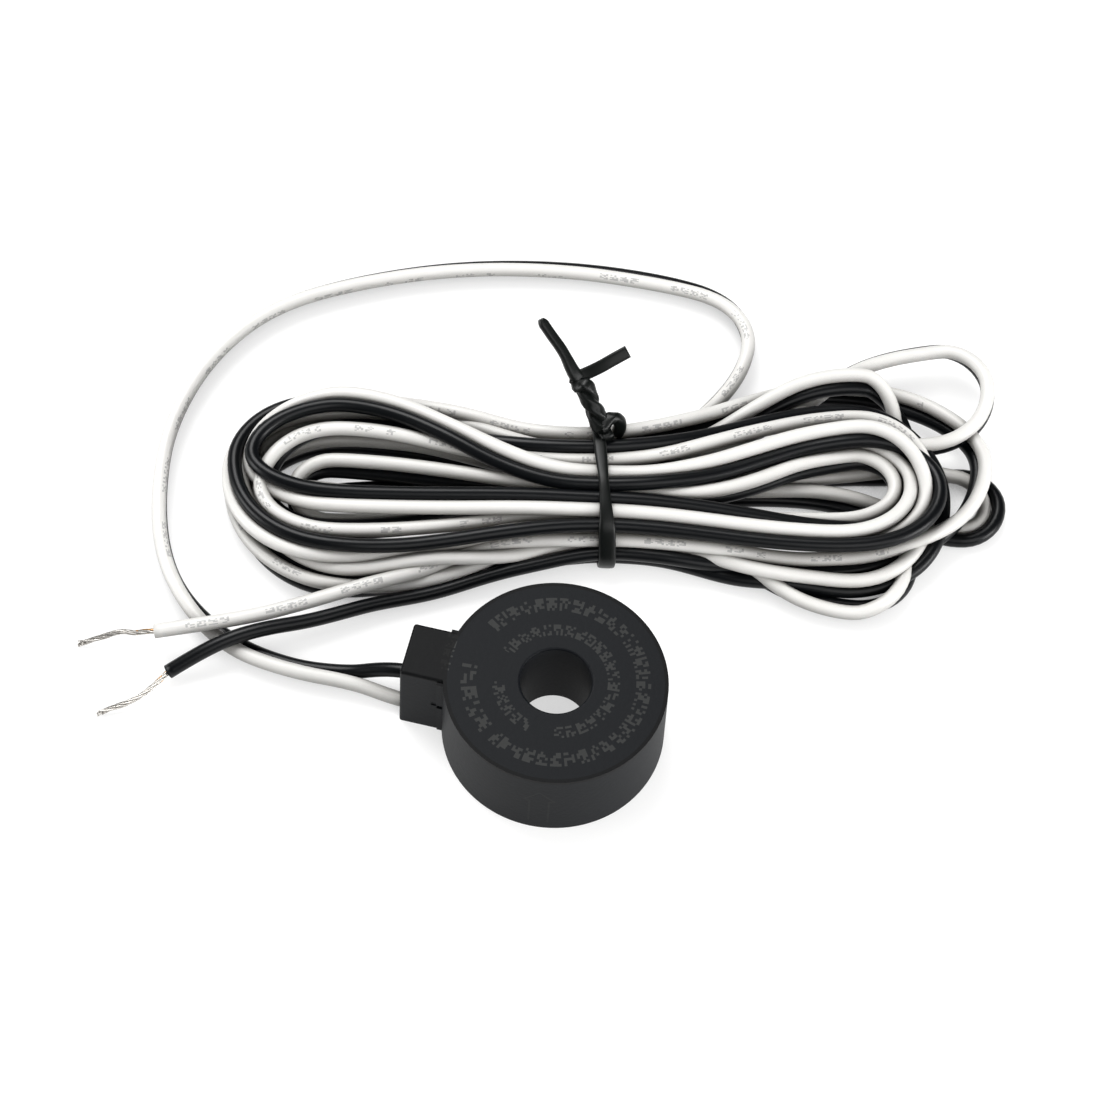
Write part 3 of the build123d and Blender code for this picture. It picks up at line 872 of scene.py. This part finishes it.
# --- Bare ends: seven fine wires twisted together ------------------------------------------------
STRANDS = 7  # six round one
STRAND = 0.19
STRAND_STEP = 0.25  # between the points of a strand
STRAND_TURN = 0.9  # radians of twist for each millimetre
COPPER_REACH, COPPER_FACES = 1.9, 90  # how far from the insulation copper shows, and its patches
WHITE_BARE = [(-42.2, -1.1, 2.8), (-43.3, -1.4, 2.5), (-44.3, -1.2, 2.1), (-45.3, -1.3, 1.6),
              (-47.1, -2.1, 0.9), (-49.0, -3.0, 0.45)]
BLACK_BARE = [(-39.5, -5.4, 1.2), (-40.1, -6.4, 1.1), (-40.9, -7.5, 1.0), (-41.9, -8.4, 0.9),
              (-43.0, -9.0, 0.7), (-44.6, -10.1, 0.45)]


def bare_end(name, tip, into_wire, bare, cad_name):
    """Twisted strands that start inside the wire, leave its tip and splay a little on their way."""
    line = spline_points(name, [tuple(tip + into_wire), tuple(tip), *bare], STRAND_STEP)
    tangents, normals = frames(line)
    across = np.cross(tangents, normals)
    along = np.linspace(0, 1, len(line))
    shapes = []
    for k in range(STRANDS):
        angle = k * math.pi / 3 + along * len(line) * STRAND_STEP * STRAND_TURN
        middle_one = k == STRANDS - 1
        spread = (0.0 if middle_one else STRAND) + 0.10 * along ** 3 * math.sin(2.4 * k + 0.5)
        spread = spread + 0.09 * np.exp(-((along - 0.1) / 0.06) ** 2) * (k % 3 == 0)
        place = line + spread[:, None] * (
            np.cos(angle)[:, None] * normals + np.sin(angle)[:, None] * across
        )
        stop = len(line) - (k * 2) % 5  # the strands aren't cut to one length
        shapes.append(ribbon(place[:stop], STRAND, STRAND, normals[:stop], sides=6))
    made = joined(name, shapes, tinned_material)
    made.data.materials.append(copper_material)
    for face in made.data.polygons:
        close = np.linalg.norm(np.array(face.center) / MM - tip) < COPPER_REACH
        face.material_index = int(close and (face.index // COPPER_FACES) % 2 == 0)
    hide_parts(cad_name)
    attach(made, "root")


bare_end("white_strands", white_line[-1], (0.6, 0.2, 0.0), WHITE_BARE, "white_bare_strands")
bare_end("black_strands", black_line[-1], (0.3, 0.4, 0.0), BLACK_BARE, "black_bare_strands")

# --- CAD pieces carried over ---------------------------------------------------------------------
SURFACES = {"housing": housing_material, "potting": potting_material}
for name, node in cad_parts.items():
    node.data.materials.clear()
    node.data.materials.append(SURFACES.get(name, inner_material))

# --- Floor and light -----------------------------------------------------------------------------
FLOOR_GLOW = 0.9  # how white the floor looks away from the object


def floor_paper():
    """Grey paper that is seen as white by the camera and in reflections, but for its real shadows
    and a painted shade near the object, where its glow is dimmed.
    """
    made = bpy.data.materials.new("floor_paper")
    made.use_nodes = True
    nodes, links = made.node_tree.nodes, made.node_tree.links
    work = calculator(made.node_tree)
    paper = nodes["Principled BSDF"]
    paper.inputs["Base Color"].default_value = (0.30, 0.30, 0.295, 1)
    paper.inputs["Roughness"].default_value = 0.9
    paper.inputs["Specular IOR Level"].default_value = 0.1
    # Painted shade: the glow dims where the object crowds the floor, so shade is painted round and
    # under it.
    crevice = nodes.new("ShaderNodeAmbientOcclusion")
    crevice.samples = 8
    crevice.inputs["Distance"].default_value = 0.006
    lift = nodes.new("ShaderNodeEmission")
    strength = work("MULTIPLY", work("POWER", crevice.outputs["AO"], 0.3), FLOOR_GLOW)
    links.new(strength, lift.inputs["Strength"])
    both = nodes.new("ShaderNodeAddShader")
    links.new(paper.outputs[0], both.inputs[0])
    links.new(lift.outputs[0], both.inputs[1])
    rays = nodes.new("ShaderNodeLightPath").outputs
    seen = work("MAXIMUM", rays["Is Camera Ray"], rays["Is Glossy Ray"])
    seen = work("MAXIMUM", seen, rays["Is Transmission Ray"])
    pick = nodes.new("ShaderNodeMixShader")
    links.new(seen, pick.inputs[0])
    links.new(paper.outputs[0], pick.inputs[1])
    links.new(both.outputs[0], pick.inputs[2])
    links.new(pick.outputs[0], nodes["Material Output"].inputs["Surface"])
    return made


def soft_sky():
    """A world that is a little brighter towards the floor than overhead."""
    world = bpy.data.worlds.new("studio")
    world.use_nodes = True
    tree = world.node_tree
    work = calculator(tree)
    sky = tree.nodes.new("ShaderNodeTexCoord")
    height = tree.nodes.new("ShaderNodeSeparateXYZ")
    tree.links.new(sky.outputs["Generated"], height.inputs[0])
    shade = work("SUBTRACT", 0.44, work("MULTIPLY", height.outputs[2], 0.16))
    tree.links.new(shade, tree.nodes["Background"].inputs["Strength"])
    return world


def lamp(name, place, target, size, power):
    """A square soft lamp that points at a target."""
    data = bpy.data.lights.new(name, "AREA")
    data.shape = "SQUARE"
    data.size = size
    data.energy = power
    made = bpy.data.objects.new(name, data)
    made.location = place
    made.rotation_euler = (Vector(target) - Vector(place)).to_track_quat("-Z", "Y").to_euler()
    scene.collection.objects.link(made)


bpy.ops.mesh.primitive_plane_add(size=3.0, location=(0, 0, 0))
floor = bpy.context.object
floor.name = "floor"
floor.data.materials.append(floor_paper())
scene.world = soft_sky()
lamp("key", (-0.25, 0.30, 0.6), (0, 0.02, 0), 0.4, 5.2)
lamp("fill", (0.3, -0.4, 0.5), (0, 0.02, 0), 0.5, 2.2)
lamp("right_side", (0.5, -0.1, 0.12), (0, 0.0, 0.01), 0.25, 2.3)
lamp("left_side", (-0.5, -0.15, 0.12), (0, 0.0, 0.01), 0.25, 1.4)

scene.view_settings.view_transform = "Standard"
